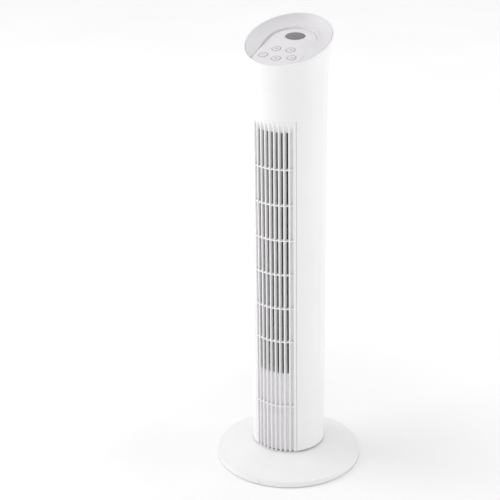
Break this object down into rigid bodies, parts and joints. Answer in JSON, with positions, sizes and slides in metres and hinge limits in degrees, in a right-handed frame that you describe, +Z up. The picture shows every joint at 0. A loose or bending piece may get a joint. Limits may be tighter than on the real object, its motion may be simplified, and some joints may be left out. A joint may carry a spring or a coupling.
{
  "type": "tower fan",
  "caption": "Slim white tower fan: round domed base, tall grooved front grille, flared slanted head with a scooped control panel; swings and blows.",
  "frame": {"origin": "centre of the round base, on the floor", "axes": "+Z up the column; the front grille faces -Y; +X is to the right seen from the front"},
  "size_m": [0.244, 0.244, 0.7602],
  "materials": {
    "white_shell": "moulded white, satin gloss",
    "panel_face": "fine matt, pale warm grey",
    "dark_window": "smoked, polished",
    "grey_plastic": "moulded, fine grain",
    "dark_plastic": "moulded black",
    "gear_plastic": "natural acetal",
    "black_rubber": "matt",
    "steel": "zinc plated",
    "bronze": "sintered bronze",
    "circuit_board": "green solder mask"
  },
  "bodies": {
    "base": {"base_left": "white_shell", "base_right": "white_shell", "base_plate": "grey_plastic", "rubber_feet": "black_rubber", "base_screws": "steel", "post_screws": "steel", "swivel_post": "gear_plastic", "sun_gear": "gear_plastic", "retaining_ring": "steel", "thrust_washer": "gear_plastic"},
    "tower": {"turntable": "grey_plastic", "turntable_screws": "steel", "swing_motor_bracket": "steel", "swing_motor": "steel", "swing_motor_screws": "steel", "power_board": "circuit_board", "cord_gland": "black_rubber", "front_housing": "white_shell", "rear_housing": "white_shell", "housing_screws": "steel", "front_grille": "white_shell", "head_cap": "white_shell", "control_panel": "panel_face", "display_window": "dark_window", "control_board": "circuit_board", "tact_switches": "dark_plastic", "led_display": "dark_plastic", "ir_receiver": "dark_plastic", "board_screws": "steel", "duct_floor": "grey_plastic", "duct_ceiling": "grey_plastic", "air_scroll": "dark_plastic", "air_tongue": "dark_plastic", "bearing_rubber": "black_rubber", "bearing_bush": "bronze", "motor_can": "steel", "motor_stator": "steel", "motor_bearings": "bronze", "motor_mounts": "black_rubber", "motor_screws": "steel", "run_capacitor": "grey_plastic", "wiring_harness": "black_rubber"},
    "fan": {"impeller": "dark_plastic", "drive_shaft": "steel", "top_pin": "steel", "clamp_screw": "steel", "motor_rotor": "steel"},
    "swing_drive": {"swing_pinion": "gear_plastic", "swing_shaft": "steel"},
    "power_key": {"power_button": "panel_face"},
    "speed_key": {"speed_button": "panel_face"},
    "timer_key": {"timer_button": "panel_face"},
    "swing_key": {"swing_button": "panel_face"},
    "mode_key": {"mode_button": "panel_face"}
  },
  "joints": [
    {"name": "swing", "type": "hinge", "parent": "base", "child": "tower", "pos_m": [0, 0, 0.0415], "axis": [0, 0, 1], "range_deg": [-35, 35]},
    {"name": "fan_spin", "type": "hinge", "parent": "tower", "child": "fan", "pos_m": [0, 0.006, 0.39], "axis": [0, 0, 1], "continuous": true},
    {"name": "pinion_spin", "type": "hinge", "parent": "tower", "child": "swing_drive", "pos_m": [-0.02563, 0.02563, 0.048], "axis": [0, 0, 1], "range_deg": [-105.5, 105.5]},
    {"name": "power_press", "type": "slide", "parent": "tower", "child": "power_key", "axis": [0, 0.2419, -0.9703], "range_m": [0, 0.0008], "stiffness_N_per_m": 600},
    {"name": "speed_press", "type": "slide", "parent": "tower", "child": "speed_key", "axis": [0, 0.2419, -0.9703], "range_m": [0, 0.0008], "stiffness_N_per_m": 600},
    {"name": "timer_press", "type": "slide", "parent": "tower", "child": "timer_key", "axis": [0, 0.2419, -0.9703], "range_m": [0, 0.0008], "stiffness_N_per_m": 600},
    {"name": "swing_press", "type": "slide", "parent": "tower", "child": "swing_key", "axis": [0, 0.2419, -0.9703], "range_m": [0, 0.0008], "stiffness_N_per_m": 600},
    {"name": "mode_press", "type": "slide", "parent": "tower", "child": "mode_key", "axis": [0, 0.2419, -0.9703], "range_m": [0, 0.0008], "stiffness_N_per_m": 600}
  ],
  "couplings": [
    {"joint": "pinion_spin", "follows": "swing", "ratio": 3}
  ]
}
